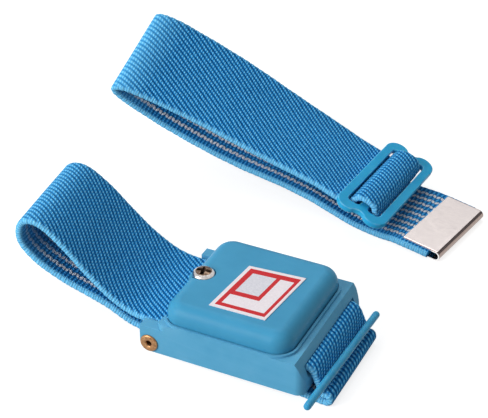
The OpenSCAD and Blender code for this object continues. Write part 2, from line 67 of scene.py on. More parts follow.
COVER_X0, COVER_L, COVER_H = BASE_X0 + 0.5, 27.6, 4.5
COVER_CX = COVER_X0 + COVER_L / 2
COVER_TOP = BASE_H + COVER_H

SCREW_X, SCREW_Y = COVER_X0 + 2.9, -0.9
SCREW_R, SCREW_HEAD_R, SCREW_HEAD_H = 1.25, 2.4, 2.0
SEAT_Z = COVER_TOP - 1.2
# Under the band: a gap, the ring terminal, the nut, and the shank's tip.
STACK_GAP, RING_T, NUT_T, SCREW_TIP = 0.2, 0.35, 1.6, 0.2
SCREW_END = BAND_Z - BAND_T / 2 - STACK_GAP - RING_T - NUT_T - SCREW_TIP

CLIP_OUT, CLIP_BORE, CLIP_SHEET, CLIP_W = 1.2, 0.9, 0.3, 21.4
SPARE_PLATES, STRAP_PLATES = 8.3, 4.0
SPARE_CLIP_X = 25.1
# The clip and the band's end turn sideways about SPARE_TURN_X, easing in over SPARE_TURN_EASE from SPARE_TURN_FROM on.
SPARE_CLIP_TURN, SPARE_TURN_X, SPARE_TURN_FROM, SPARE_TURN_EASE = math.radians(5), 13.5, 11, 5
STRAP_CLIP_TILT = math.radians(5)
# Distance from the roll's centre at which a band starts inside its clip.
BAND_START = CLIP_OUT + 0.35

SLIDER_X, SLIDER_LIFT = 5.2, 1.8
SLIDER_W, SLIDER_T, SLIDER_BAR_W = 12.6, 1.4, 2.1
RUN_ANGLE, RUN_Z = math.radians(14), 4.8

# Places of the two frames on the table.
PITCH = math.radians(5.3)
STRAP_X, STRAP_Y = 16.4, -26.5
SPARE_X, SPARE_Y, SPARE_TURN = 15.2, 31.9, math.radians(-4)


# ---------------------------------------------------------------- frames
def tilted(p, angle):
    """Points turned about the Y axis, their +X side up."""
    x, y, z = np.moveaxis(np.asarray(p, float), -1, 0)
    c, s = math.cos(angle), math.sin(angle)
    return np.stack([c * x - s * z, y, s * x + c * z], -1)


def spun(p, angle):
    """Points turned about the Z axis, counter-clockwise from above. The angle may differ from point to point."""
    x, y, z = np.moveaxis(np.asarray(p, float), -1, 0)
    c, s = np.cos(angle), np.sin(angle)
    return np.stack([c * x - s * y, s * x + c * y, z], -1)


def on_strap(p):
    """Housing frame to row frame: the housing is tipped about its pin."""
    pin = np.array([PIN_X, 0, PIN_Z])
    return tilted(np.asarray(p, float) - pin, PITCH) + pin + [STRAP_X, STRAP_Y, 0]


def on_spare(p):
    """Spare frame to row frame."""
    return spun(p, SPARE_TURN) + [SPARE_X, SPARE_Y, 0]


def on_slider(p):
    """Frame of the slider, flat about its middle, to row frame."""
    p = np.asarray(p, float) + [0, 0, SLIDER_LIFT]
    return on_spare(tilted(p, -RUN_ANGLE) + [SLIDER_X, 0, RUN_Z])


def on_spare_clip(p):
    """Frame of a clip, about its roll, to row frame, for the clip on the spare band."""
    p = np.asarray(p, float) + [SPARE_CLIP_X - SPARE_TURN_X, 0, 0]
    return on_spare(spun(p, -SPARE_CLIP_TURN) + [SPARE_TURN_X, 0, CLIP_OUT])


def on_strap_clip(p):
    """Frame of a clip, about its roll, to row frame, for the clip round the pin."""
    return on_strap(tilted(p, -STRAP_CLIP_TILT) + [PIN_X, 0, PIN_Z])


# ---------------------------------------------------------------- camera
# Fitted to the housing's corners in the photo: angles round and down, distance, focal length in pixels, and the point
# in the housing frame that it looks at.
CAMERA_ROUND, CAMERA_DOWN, CAMERA_DISTANCE = math.radians(25.7), math.radians(33.1), 351.6
CAMERA_FOCAL, PHOTO_WIDTH, SENSOR_WIDTH = 1522.0, 488, 36.0
CAMERA_AIM = (-23.25, 40.54, 0)


def camera():
    fwd = Vector((
        -math.sin(CAMERA_ROUND) * math.cos(CAMERA_DOWN),
        math.cos(CAMERA_ROUND) * math.cos(CAMERA_DOWN),
        -math.sin(CAMERA_DOWN),
    ))
    right = Vector((math.cos(CAMERA_ROUND), math.sin(CAMERA_ROUND), 0))
    up = right.cross(fwd)
    eye = Vector(on_strap(Vector(CAMERA_AIM) - fwd * CAMERA_DISTANCE)) * MM
    x, y, z = (Vector(on_strap(v) - on_strap([0, 0, 0])).normalized() for v in (right, up, -fwd))
    cam = bpy.data.objects.new("camera", bpy.data.cameras.new("camera"))
    scene.collection.objects.link(cam)
    cam.data.sensor_fit = "HORIZONTAL"
    cam.data.sensor_width = SENSOR_WIDTH
    cam.data.lens = CAMERA_FOCAL / PHOTO_WIDTH * SENSOR_WIDTH
    cam.data.clip_start, cam.data.clip_end = 0.01, 20
    cam.matrix_world = Matrix([[x[i], y[i], z[i], eye[i]] for i in range(3)] + [[0, 0, 0, 1]])
    scene.camera = cam


camera()


# ---------------------------------------------------------------- material helpers
def lin(*rgb):
    """sRGB 0..255 to a linear colour."""
    shares = (c / 255 for c in rgb)
    return (*(c / 12.92 if c <= 0.04045 else ((c + 0.055) / 1.055) ** 2.4 for c in shares), 1.0)


def shades(*stops):
    """Ramp stops from (position, red, green, blue)."""
    return [(at, lin(*rgb)) for at, *rgb in stops]


class Nodes:
    """A small helper to write a node tree as expressions."""

    def __init__(self, tree):
        self.t = tree

    def node(self, kind, **props):
        n = self.t.nodes.new(kind)
        for k, v in props.items():
            setattr(n, k, v)
        return n

    def put(self, socket, value):
        if isinstance(value, bpy.types.NodeSocket):
            self.t.links.new(value, socket)
        else:
            socket.default_value = value

    def math(self, op, *args, clamp=False):
        n = self.node("ShaderNodeMath", operation=op, use_clamp=clamp)
        for i, a in enumerate(args):
            self.put(n.inputs[i], a)
        return n.outputs[0]

    def add(self, a, b, clamp=False):
        return self.math("ADD", a, b, clamp=clamp)

    def sub(self, a, b):
        return self.math("SUBTRACT", a, b)

    def mul(self, a, b):
        return self.math("MULTIPLY", a, b)

    def power(self, a, b):
        return self.math("POWER", a, b)

    def off(self, a, b):
        """Distance of a from b."""
        return self.math("ABSOLUTE", self.sub(a, b))

    def line(self, x, slope, start):
        """x * slope + start."""
        return self.math("MULTIPLY_ADD", x, slope, start)

    def swing(self, x, amount):
        """0..1 to an amount centred on zero."""
        return self.line(x, amount, -amount / 2)

    def wave(self, x, offset=0.0):
        """0.5 + 0.5 cos(2 pi x + offset)."""
        return self.line(self.math("COSINE", self.line(x, 2 * math.pi, offset)), 0.5, 0.5)

    def span(self, x, a, b, c=0.0, d=1.0):
        """Maps a..b to c..d and stays inside."""
        n = self.node("ShaderNodeMapRange", clamp=True)
        for i, v in enumerate((x, a, b, c, d)):
            self.put(n.inputs[i], v)
        return n.outputs[0]


class Mat(Nodes):
    """A material with a Principled surface."""

    def __init__(self, name):
        self.m = bpy.data.materials.new(name)
        self.m.use_nodes = True
        super().__init__(self.m.node_tree)
        self.bsdf = self.t.nodes["Principled BSDF"]
        self.out = self.t.nodes["Material Output"]

    def object_mm(self):
        """Object coordinates in millimetres."""
        n = self.node("ShaderNodeVectorMath", operation="SCALE")
        self.put(n.inputs[0], self.node("ShaderNodeTexCoord").outputs["Object"])
        n.inputs["Scale"].default_value = 1000
        return n.outputs[0]

    def uv(self):
        """The band's UV map, and its two coordinates."""
        n = self.node("ShaderNodeUVMap", uv_map="weave")
        s = self.node("ShaderNodeSeparateXYZ")
        self.put(s.inputs[0], n.outputs[0])
        return n.outputs[0], s.outputs[0], s.outputs[1]

    def stretch(self, vector, x, y, z):
        n = self.node("ShaderNodeVectorMath", operation="MULTIPLY")
        self.put(n.inputs[0], vector)
        n.inputs[1].default_value = (x, y, z)
        return n.outputs[0]

    def noise(self, vector, scale=1.0, detail=3.0, rough=0.5, distort=0.0):
        n = self.node("ShaderNodeTexNoise")
        self.put(n.inputs["Vector"], vector)
        n.inputs["Scale"].default_value = scale
        n.inputs["Detail"].default_value = detail
        n.inputs["Roughness"].default_value = rough
        n.inputs["Distortion"].default_value = distort
        return n.outputs["Fac"]

    def ramp(self, x, stops):
        n = self.node("ShaderNodeValToRGB")
        e = n.color_ramp.elements
        while len(e) < len(stops):
            e.new(0.5)
        for k, (at, colour) in zip(e, stops):
            k.position = at
            k.color = colour
        self.put(n.inputs[0], x)
        return n.outputs[0]

    def mix(self, f, a, b):
        n = self.node("ShaderNodeMix", data_type="RGBA")
        self.put(n.inputs[0], f)
        self.put(n.inputs[6], a)
        self.put(n.inputs[7], b)
        return n.outputs[2]

    def bump(self, height, distance, strength=1.0):
        n = self.node("ShaderNodeBump")
        self.put(n.inputs["Height"], height)
        n.inputs["Distance"].default_value = distance
        n.inputs["Strength"].default_value = strength
        return n.outputs[0]

    def set(self, **kw):
        for k, v in kw.items():
            self.put(self.bsdf.inputs[k.replace("_", " ")], v)
        return self.m


# ---------------------------------------------------------------- fabric materials
# The UV map of a band holds millimetres along it and across it from its far edge.
OUTER_SHADES = shades(
    (0.0, 0, 70, 130), (0.18, 2, 95, 164), (0.42, 30, 134, 204), (0.7, 72, 174, 236), (1.0, 140, 218, 254))
INNER_SHADES = shades((0.0, 6, 88, 148), (0.35, 26, 122, 190), (0.75, 62, 160, 226), (1.0, 104, 196, 246))
YARN_SHADES = shades((0.0, 170, 182, 200), (0.45, 232, 234, 240), (1.0, 255, 255, 255))
SELVAGE_SHADES = shades((0.0, 62, 156, 216), (0.5, 114, 202, 248), (1.0, 176, 236, 255))
FOLD_HIGHLIGHT_SHADES = shades((0.0, 60, 158, 220), (1.0, 136, 218, 255))
YARN_SHADOW, SELVAGE_SHADOW = lin(8, 66, 116), lin(24, 96, 154)
# Yarn turns a millimetre, on the face and along the edge.
PICKS = 1.72
# Conductive yarns: the first one's place, their spacing, half the sway of a zigzag and half the yarn's width, in
# millimetres; zigzags a millimetre, and their shift from one yarn to the next; how square the yarn's sides are; and the
# edges beyond which there is no yarn.
YARN_FIRST, YARN_STEP, YARN_SWAY, YARN_HALF = 2.8, 2.3, 0.24, 0.56
YARN_ZIGZAGS, YARN_SHIFT, YARN_SQUARE = 0.571, 0.37, 2.4
YARN_V0, YARN_V1 = 1.2, 22.6
# Where the face turns into the edge, and where the edge turns under, from the band's middle.
EDGE_FROM, EDGE_TO = 11.25, 11.75
UNDER_FROM, UNDER_TO = 12.1, 12.6


def outer_face(m, vec, u, v, du, dv, drift, jitter, fibre, fine):
    """Twill rows that fall across the band, and the yarn floats that each row is made of."""
    rows = m.wave(m.sub(m.mul(u, du), m.mul(v, dv)), drift)
    picks = m.wave(m.sub(m.mul(u, PICKS), m.mul(v, 0.04)), jitter)
    clump = m.noise(m.stretch(vec, 0.9, 1.1, 1), 1.0, 2.0, 0.6)
    high = m.mul(m.power(rows, 0.7), m.line(picks, 0.5, 0.5))
    high = m.add(high, m.swing(fibre, 0.30))
    tint = m.add(high, m.add(m.swing(fine, 0.84), m.swing(clump, 0.44)))
    return tint, m.ramp(tint, OUTER_SHADES), high


def yarn_rows(m, u, v, drift, fine):
    """How deep each point lies in a zigzag row of conductive yarn, which dives into the fabric at each turn."""
    across = m.math("DIVIDE", m.sub(v, YARN_FIRST), YARN_STEP)
    number = m.math("ROUND", across)
    nearest = m.mul(m.sub(across, number), YARN_STEP)
    along = m.add(m.mul(number, YARN_SHIFT), m.mul(u, YARN_ZIGZAGS))
    zigzag = m.line(m.off(m.math("FRACT", m.line(drift, 0.10, along)), 0.5), 4.0, -1.0)
    away = m.math("ABSOLUTE", m.line(zigzag, -YARN_SWAY, nearest))
    side = m.power(m.math("DIVIDE", away, YARN_HALF), YARN_SQUARE)
    dive = m.mul(m.power(m.math("ABSOLUTE", zigzag), 4.0), 1.3)
    return m.add(m.sub(1.0, m.add(side, dive)), m.swing(fine, 0.8))


def inner_face(m, u, v, drift, jitter, fine):
    """Plainer back of the fabric, with nine rows of twisted pale yarn and a little shade beside them."""
    back = m.mul(m.wave(m.mul(u, 1.12), drift), m.line(m.wave(m.mul(v, 1.7), jitter), 0.6, 0.4))
    tint = m.add(back, m.swing(fine, 0.5))
    depth = yarn_rows(m, u, v, drift, fine)
    inside = m.mul(m.math("GREATER_THAN", v, YARN_V0), m.math("LESS_THAN", v, YARN_V1))
    yarn = m.mul(m.span(depth, 0.0, 0.6), inside)
    shade = m.mul(m.span(depth, -1.4, 0.0), inside)
    twist = m.wave(m.add(m.mul(u, 2.6), m.mul(v, 2.0)), jitter)
    face = m.mix(m.mul(shade, 0.4), m.ramp(tint, INNER_SHADES), YARN_SHADOW)
    face = m.mix(yarn, face, m.ramp(m.line(twist, 0.6, m.mul(fine, 0.4)), YARN_SHADES))
    return tint, face, m.add(m.mul(back, 0.5), m.mul(yarn, m.line(twist, 0.3, 0.7)))


def selvage(m, u, from_mid, jitter, fibre, fine):
    """Short yarn turns across the edge, paler than the face."""
    turn = m.wave(m.mul(u, PICKS), m.mul(jitter, 1.9))
    tint = m.add(m.mul(fibre, 0.6), m.line(turn, 0.36, m.line(fine, 0.8, -0.42)))
    under = m.span(from_mid, UNDER_FROM, UNDER_TO)
    colour = m.mix(m.mul(under, 0.15), m.ramp(tint, SELVAGE_SHADES), SELVAGE_SHADOW)
    return colour, m.line(turn, 0.34, m.mul(fibre, 0.8))


def weave(name, inner, du, dv):
    """Elastic webbing, its outer or its inner side. The twill has du rows a millimetre along it and dv across."""
    m = Mat(name)
    vec, u, v = m.uv()
    drift = m.swing(m.noise(m.stretch(vec, 0.22, 0.5, 1), 1.0, 2.0), 2.2)
    jitter = m.swing(m.noise(m.stretch(vec, 0.6, 0.9, 1), 1.0, 2.0), 2.6)
    fibre = m.noise(m.stretch(vec, 2.2, 9.0, 1), 1.0, 3.0, 0.65)
    fine = m.noise(vec, 4.8, 3.0, 0.7)
    if inner:
        tint, face, high = inner_face(m, u, v, drift, jitter, fine)
    else:
        tint, face, high = outer_face(m, vec, u, v, du, dv, drift, jitter, fibre, fine)
    # The band's own attribute marks where its colour is painted paler, as a highlight of light catching loose fibres,
    # and where its bump is flattened.
    fold_highlight = m.node("ShaderNodeAttribute", attribute_name="fold_highlight").outputs["Fac"]
    face = m.mix(m.mul(fold_highlight, 0.8), face, m.ramp(tint, FOLD_HIGHLIGHT_SHADES))
    from_mid = m.off(v, BAND_MID)
    edge = m.span(from_mid, EDGE_FROM, EDGE_TO)
    edge_colour, edge_high = selvage(m, u, from_mid, jitter, fibre, fine)
    high = m.add(m.mul(high, m.sub(1.0, edge)), m.mul(edge_high, edge))
    # Uneven dye.
    dye = m.node("ShaderNodeHueSaturation")
    m.put(dye.inputs["Color"], m.mix(edge, face, edge_colour))
    m.put(dye.inputs["Value"], m.line(m.noise(m.stretch(vec, 0.05, 0.09, 1), 1.0, 2.0), 0.24, 0.88))
    return m.set(
        Base_Color=dye.outputs[0],
        Roughness=m.line(tint, -0.12, 0.86),
        Normal=m.bump(m.mul(high, m.line(fold_highlight, -0.6, 1.0)), 0.00030, 0.9),
        Sheen_Weight=0.42,
        Sheen_Roughness=0.3,
        Sheen_Tint=lin(84, 196, 255),
        Specular_IOR_Level=0.1,
    )


STRAP_TWILL, SPARE_TWILL = (0.580, 0.867), (0.504, 0.844)
STRAP_WEAVE = [weave("strap_outer", False, *STRAP_TWILL), weave("strap_inner", True, *STRAP_TWILL)]
SPARE_WEAVE = [weave("spare_outer", False, *SPARE_TWILL), weave("spare_inner", True, *SPARE_TWILL)]


# ---------------------------------------------------------------- plastic materials
RUB_AND_HIGHLIGHT_TONE, SCRATCHED, DUSTY = lin(150, 208, 230), lin(150, 204, 226), lin(190, 218, 230)


def plastic(name, tones, rough, sub, grain, rub_and_highlight=0.0):
    """Moulded polypropylene in a deep, a middle and a pale tone, with faint cloudiness, scratches and dust. sub is how
    much light goes into it, and the last argument how far its surface is painted paler in patches, as rubbed wear and
    painted highlight."""
    m = Mat(name)
    deep, mid, pale = tones
    p = m.object_mm()
    cloud = m.noise(p, 0.11, 3.0, 0.55)
    flow = m.noise(m.stretch(p, 0.05, 0.35, 0.9), 1.0, 3.0, 0.6, 0.6)
    tone = m.line(flow, 0.25, m.mul(cloud, 0.75))
    rub_and_highlight_mask = m.span(m.noise(m.stretch(p, 0.5, 0.8, 0.8)), 0.35, 0.70)
    scratch = m.span(m.noise(m.stretch(p, 0.25, 6.0, 2.0), 1.0, 4.0, 0.7, 0.3), 0.64, 0.74)
    dust = m.span(m.noise(p, 2.1, 2.0), 0.76, 0.82)
    colour = m.ramp(tone, shades((0.30, *deep), (0.5, *mid), (0.72, *pale)))
    # Paler patches: rubbed wear and painted highlight, strongest on the eased edges' materials.
    colour = m.mix(m.mul(rub_and_highlight_mask, rub_and_highlight), colour, RUB_AND_HIGHLIGHT_TONE)
    colour = m.mix(m.mul(scratch, 0.03), colour, SCRATCHED)
    colour = m.mix(m.mul(dust, 0.10), colour, DUSTY)
    skin = m.line(m.noise(p, 3.0, 2.0), 0.4, m.mul(m.noise(p, 0.3, 1.0), 1.6))
    m.bsdf.subsurface_method = "RANDOM_WALK"
    return m.set(
        Base_Color=colour,
        Roughness=m.add(m.line(cloud, 0.16, rough - 0.08), m.mul(scratch, 0.12)),
        Normal=m.bump(skin, grain),
        Subsurface_Weight=sub,
        Subsurface_Radius=(0.25, 0.6, 1.0),
        Subsurface_Scale=0.0012,
        Specular_IOR_Level=0.12,
    )


BLUE = (60, 143, 182), (65, 148, 187), (72, 154, 193)
# The base's tones are painted paler than the cover's, as the light from the front falling on its near side.
LIT_BASE_BLUE = (80, 156, 194), (89, 163, 200), (104, 172, 207)
CYAN = (30, 156, 204), (42, 166, 214), (60, 178, 222)
BAR_BLUE = (44, 142, 186), (54, 154, 198), (68, 168, 210)
FINE_GRAIN, COARSE_GRAIN = 0.000006, 0.00001
HOUSING = plastic("housing_plastic", LIT_BASE_BLUE, 0.44, 0.10, FINE_GRAIN)
HOUSING_EDGE = plastic("housing_edge", LIT_BASE_BLUE, 0.36, 0.10, FINE_GRAIN, rub_and_highlight=0.30)
COVER = plastic("cover_plastic", BLUE, 0.42, 0.10, FINE_GRAIN)
COVER_EDGE = plastic("cover_edge", BLUE, 0.36, 0.10, FINE_GRAIN, rub_and_highlight=0.22)
SLIDER = plastic("slider_plastic", CYAN, 0.36, 0.35, COARSE_GRAIN)
SLIDER_EDGE = plastic("slider_edge", CYAN, 0.30, 0.35, COARSE_GRAIN, rub_and_highlight=0.45)
BAR = plastic("bar_plastic", BAR_BLUE, 0.36, 0.3, COARSE_GRAIN, rub_and_highlight=0.10)


# ---------------------------------------------------------------- metal materials
def metal(name, dark, mid, pale, rough, patina=0.0, stain_and_shade_colour=(96, 70, 44), grain=0.000006, brushed=False):
    """Sheet or turned metal, with stains as far as patina says, and painted shade in the same colour in its hollows,
    stronger with more patina.
    """
    m = Mat(name)
    p = m.object_mm()
    lines = m.noise(m.stretch(p, 0.6, 9.0, 3.0) if brushed else m.stretch(p, 2.4, 2.4, 2.4), 1.0, 5.0, 0.65)
    spots = m.span(m.noise(p, 1.5, 5.0, 0.7, 0.4), 0.60 - 0.35 * patina, 0.72)
    # Hollows, found by pointiness, are painted darker as shade.
    hollow_shade = m.span(m.node("ShaderNodeNewGeometry").outputs["Pointiness"], 0.40, 0.50, 1.0, 0.0)
    stain_and_shade = m.math("MINIMUM", m.add(m.mul(spots, patina), m.mul(hollow_shade, min(1.0, 0.4 + patina))), 1.0)
    bare = m.ramp(lines, shades((0.25, *dark), (0.5, *mid), (0.8, *pale)))
    return m.set(
        Base_Color=m.mix(stain_and_shade, bare, lin(*stain_and_shade_colour)),
        Metallic=m.line(stain_and_shade, -0.55, 1.0),
        Roughness=m.add(m.line(lines, 0.12, rough - 0.06), m.mul(stain_and_shade, 0.3)),
        Normal=m.bump(lines, grain),
    )


NICKEL = metal("screw_nickel", (168, 162, 158), (204, 200, 198), (232, 230, 230), 0.22, 0.25, (96, 78, 66))
PATINA = metal(
    "screw_patina", (76, 58, 48), (124, 102, 84), (182, 160, 140), 0.34, 0.75, (58, 40, 34), grain=0.00002)
RECESS = metal("screw_recess", (52, 42, 38), (84, 68, 58), (124, 106, 92), 0.4, 0.6, (34, 26, 24))
STEEL = metal(
    "clip_steel", (199, 190, 188), (210, 201, 199), (222, 213, 211), 0.24, stain_and_shade_colour=(120, 108, 104), grain=0.000003,
    brushed=True)
# The roll's outer face is a darker, browner copy of the plate steel, painted shade.
ROLL = metal(
    "clip_roll", (120, 104, 98), (158, 140, 132), (192, 176, 168), 0.3, 0.1, (84, 66, 58), grain=0.000004, brushed=True)
# The crease where the roll meets the plate is painted dark, as shade in its groove.
CREASE = metal("clip_crease", (40, 34, 34), (70, 60, 60), (110, 98, 96), 0.4, 0.3, (30, 26, 26))
CUT = metal("clip_cut_edge", (226, 222, 220), (238, 235, 234), (248, 247, 246), 0.3)
BURR = metal("clip_burr", (96, 66, 54), (126, 92, 78), (160, 124, 106), 0.4)
BRASS = metal("pin_brass", (116, 82, 54), (170, 126, 86), (204, 162, 118), 0.36, 0.5, (84, 56, 36))
TIN = metal("tinned_metal", (168, 168, 166), (198, 198, 196), (222, 222, 220), 0.32, 0.15, (120, 112, 104))
NUT = metal("nut_brass", (150, 118, 66), (196, 160, 96), (222, 190, 130), 0.36, 0.3, (104, 78, 44))
STAINLESS = metal(
    "contact_steel", (176, 176, 174), (204, 204, 202), (226, 226, 224), 0.28, 0.08, (130, 124, 118), grain=0.000004,
    brushed=True)


# ---------------------------------------------------------------- label and resistor materials
def print_layer(name, dark, mid, pale, rough, coat, spec=0.4):
    """Printed paper or ink: a little uneven, with fine paper grain."""
    m = Mat(name)
    p = m.object_mm()
    g = m.noise(p, 2.6, 4.0, 0.6)
    return m.set(
        Base_Color=m.ramp(g, shades((0.3, *dark), (0.5, *mid), (0.75, *pale))),
        Roughness=m.line(g, 0.15, rough - 0.07),
        Normal=m.bump(m.noise(p, 9.0), 0.000008),
        Coat_Weight=coat,
        Coat_Roughness=0.25,
        Specular_IOR_Level=spec,
    )


PAPER = print_layer("label_paper", (222, 213, 218), (229, 221, 226), (235, 228, 232), 0.45, coat=0.15)
INK = print_layer("label_red_ink", (184, 24, 32), (196, 30, 38), (205, 42, 48), 0.5, coat=0.0, spec=0.2)
WINDOW = print_layer("label_window", (196, 196, 206), (208, 208, 216), (222, 220, 228), 0.38, coat=0.2)

# Colour rings of the resistor, from its middle: brown, black, green and gold.
RINGS = shades((-1.3, 92, 52, 30), (-0.7, 24, 22, 22), (-0.1, 38, 112, 56), (1.2, 176, 140, 62))
RING_HALF = 0.17


def ceramic():
    """Resistor body with its colour code, set out along the housing's length."""
    m = Mat("resistor_ceramic")
    p = m.object_mm()
    lo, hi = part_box("resistor_body")
    axis = (math.cos(PITCH), 0.0, math.sin(PITCH))
    mid = sum((lo[i] + hi[i]) / 2 * axis[i] for i in range(3)) / MM
    n = m.node("ShaderNodeVectorMath", operation="DOT_PRODUCT")
    m.put(n.inputs[0], p)
    n.inputs[1].default_value = axis
    x = m.sub(n.outputs["Value"], mid)
    g = m.noise(p, 3.0)
    colour = m.ramp(g, shades((0.3, 186, 160, 120), (0.6, 204, 180, 140), (0.8, 216, 194, 156)))
    for at, ring in RINGS:
        colour = m.mix(m.math("LESS_THAN", m.off(x, at), RING_HALF), colour, ring)
    return m.set(Base_Color=colour, Roughness=m.line(g, 0.1, 0.32), Normal=m.bump(g, 0.00002))


# ---------------------------------------------------------------- mesh helpers
def piece(name, verts, faces, mats, body="strap", smooth=True, indices=None):
    """An object from points in millimetres, with one material for all faces or an index for each."""
    me = bpy.data.meshes.new(name)
    me.from_pydata([tuple(float(c) * MM for c in v) for v in verts], [], [tuple(int(i) for i in f) for f in faces])
    for mat in mats:
        me.materials.append(mat)
    if indices is not None:
        me.polygons.foreach_set("material_index", np.asarray(indices, np.int32))
    me.polygons.foreach_set("use_smooth", [smooth] * len(me.polygons))
    me.update()
    o = bpy.data.objects.new(name, me)
    scene.collection.objects.link(o)
    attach(o, body)
    return o


def apply_modifiers(o):
    dg = bpy.context.evaluated_depsgraph_get()
    dg.update()
    me = bpy.data.meshes.new_from_object(o.evaluated_get(dg), preserve_all_data_layers=True, depsgraph=dg)
    old = o.data
    o.modifiers.clear()
    o.data = me
    bpy.data.meshes.remove(old)


def clean(o, weld=None):
    """Turns all faces outwards, after welding points that are nearer than weld metres."""
    bm = bmesh.new()
    bm.from_mesh(o.data)
    if weld is not None:
        bmesh.ops.remove_doubles(bm, verts=bm.verts, dist=weld)
    bmesh.ops.recalc_face_normals(bm, faces=bm.faces)
    bm.to_mesh(o.data)
    bm.free()


def cut(o, cutter, **options):
    """Takes the cutter's shape out of an object, and the cutter out of the scene."""
    mod = o.modifiers.new("cut", "BOOLEAN")
    mod.operation, mod.object, mod.solver = "DIFFERENCE", cutter, "EXACT"
    for k, v in options.items():
        setattr(mod, k, v)
    apply_modifiers(o)
    bpy.data.objects.remove(cutter)


def sharp_by_angle(me, degrees):
    """Smooth faces, with edges steeper than the angle kept sharp."""
    angle = math.radians(degrees)
    bm = bmesh.new()
    bm.from_mesh(me)
    for f in bm.faces:
        f.smooth = True
    for e in bm.edges:
        e.smooth = not (len(e.link_faces) == 2 and e.calc_face_angle(0.0) > angle)
    bm.to_mesh(me)
    bm.free()


def rounded(node, name, body, mats, width, segments, angle, dissolve=0.6):
    """A copy of a rigid CAD node with its sharp edges eased, as moulding leaves them. The eased edges take the second
    material."""
    bm = bmesh.new()
    bm.from_mesh(NODES[node].data)
    bmesh.ops.remove_doubles(bm, verts=bm.verts, dist=2e-6)
    bmesh.ops.dissolve_limit(bm, angle_limit=math.radians(dissolve), verts=bm.verts, edges=bm.edges)
    me = bpy.data.meshes.new(name)
    bm.to_mesh(me)
    bm.free()
    me.materials.clear()
    for mat in mats:
        me.materials.append(mat)
    o = bpy.data.objects.new(name, me)
    scene.collection.objects.link(o)
    mod = o.modifiers.new("ease", "BEVEL")
    mod.material = 1
    mod.width = width * MM
    mod.segments = segments
    mod.limit_method = "ANGLE"
    mod.angle_limit = math.radians(angle)
    mod.use_clamp_overlap = True
    mod.miter_outer = "MITER_ARC"
    apply_modifiers(o)
    sharp_by_angle(o.data, 48)
    mod = o.modifiers.new("flats", "WEIGHTED_NORMAL")
    mod.keep_sharp = True
    mod.weight = 80
    apply_modifiers(o)
    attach(o, body)
    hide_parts(node)


def tube(n, rows):
    """Quads that join rows of n points round, each row to the next."""
    faces = []
    for i in range(rows - 1):
        for j in range(n):
            k = (j + 1) % n
            faces.append((i * n + j, i * n + k, (i + 1) * n + k, (i + 1) * n + j))
    return faces


def lathe(profile, n):
    """Verts and faces of a closed profile of (radius, height) turned about +Z in n steps."""
    verts, faces = [], []
    k = len(profile)
    for i in range(n):
        a = 2 * math.pi * i / n
        verts += [(r * math.cos(a), r * math.sin(a), z) for r, z in profile]
    for i in range(n):
        j = (i + 1) % n
        for t in range(k):
            s = (t + 1) % k
            faces.append((i * k + t, j * k + t, j * k + s, i * k + s))
    return np.array(verts), faces


# ---------------------------------------------------------------- the bands' shape
# The half-round edges reach EDGE_R past the flat faces.
EDGE_R = 0.75
FLAT = BAND_MID - EDGE_R
FACE_POINTS, EDGE_POINTS, PATH_STEPS = 33, 9, 14
# The edges stand out and draw in from SCALLOP_FROM off the band's middle, easing in over SCALLOP_EASE.
SCALLOP_FROM, SCALLOP_EASE = 11.2, 0.6
SWELL = 0.02
FOLD_HIGHLIGHT_REACH = 8.0


def smooth_path(p, steps):
    """Points of a quadratic curve that rounds each corner of the path."""
    p = np.array(p, float)
    out = [p[0]]
    for i in range(1, len(p) - 1):
        a, b, c = (p[i - 1] + p[i]) / 2, p[i], (p[i] + p[i + 1]) / 2
        for k in range(steps):
            t = k / steps
            out.append((1 - t) ** 2 * a + 2 * t * (1 - t) * b + t * t * c)
    out += [(p[-2] + p[-1]) / 2, p[-1]]
    return np.array(out)


def resampled(c, step):
    """Length, place and outward normal at even steps along a curve."""
    along = np.concatenate([[0], np.cumsum(np.linalg.norm(np.diff(c, axis=0), axis=1))])
    s = np.linspace(0, along[-1], math.ceil(along[-1] / step) + 1)
    q = np.stack([np.interp(s, along, c[:, i]) for i in (0, 1)], 1)
    t = np.gradient(q, axis=0)
    t /= np.linalg.norm(t, axis=1)[:, None]
    return s, q, np.stack([-t[:, 1], t[:, 0]], 1)


def twisted(p, start, length, roll, sway, shear, axis_z, axis_rise):
    """Bends a band's left part. s counts lengths to the left of the start. For each of them the band rolls by roll
    degrees about an axis that starts at axis_z and rises by axis_rise. It also sways sideways and leans along its
    width."""
    x, y, z = np.moveaxis(p, -1, 0)
    s = np.maximum(0, start - x) / length
    a = np.radians(roll * s)
    axis = axis_z + axis_rise * s
    h = z - axis
    return np.stack([
        x - shear * y * s,
        y * np.cos(a) - h * np.sin(a) - sway * s * s,
        axis + y * np.sin(a) + h * np.cos(a),
    ], -1)


def turned(p):
    """Turns the spare band's end along with its clip."""
    turn = -SPARE_CLIP_TURN * np.clip((p[..., 0] - SPARE_TURN_FROM) / SPARE_TURN_EASE, 0, 1)
    pivot = [SPARE_TURN_X, 0, 0]
    return spun(p - pivot, turn) + pivot


def section():
    """Half-rounded cross-section of the webbing, going round. Gives its points (across, height), and for each stretch
    from one point to the next (v, next v, material), with v its place in the UV map and material 1 the inner face."""
    points, stretches = [], []
    for side in (1, -1):
        # A face, then the edge that follows it.
        face = [(y, side * BAND_T / 2, BAND_MID - y) for y in side * np.linspace(FLAT, -FLAT, FACE_POINTS)]
        edge = []
        for degrees in np.linspace(90, -90, EDGE_POINTS):
            a = math.radians(degrees)
            reach = FLAT + EDGE_R * abs(math.cos(a)) ** 0.7
            v = BAND_MID + side * (FLAT + EDGE_R * (90 - degrees) / 90)
            edge.append((-side * reach, side * BAND_T / 2 * math.sin(a), v))
        for line, mat in ((face, 1 if side < 0 else 0), (edge, 0)):
            stretches += [(a[2], b[2], mat) for a, b in zip(line, line[1:])]
        points += [(y, h) for y, h, v in face + edge[1:-1]]
    return np.array(points), stretches


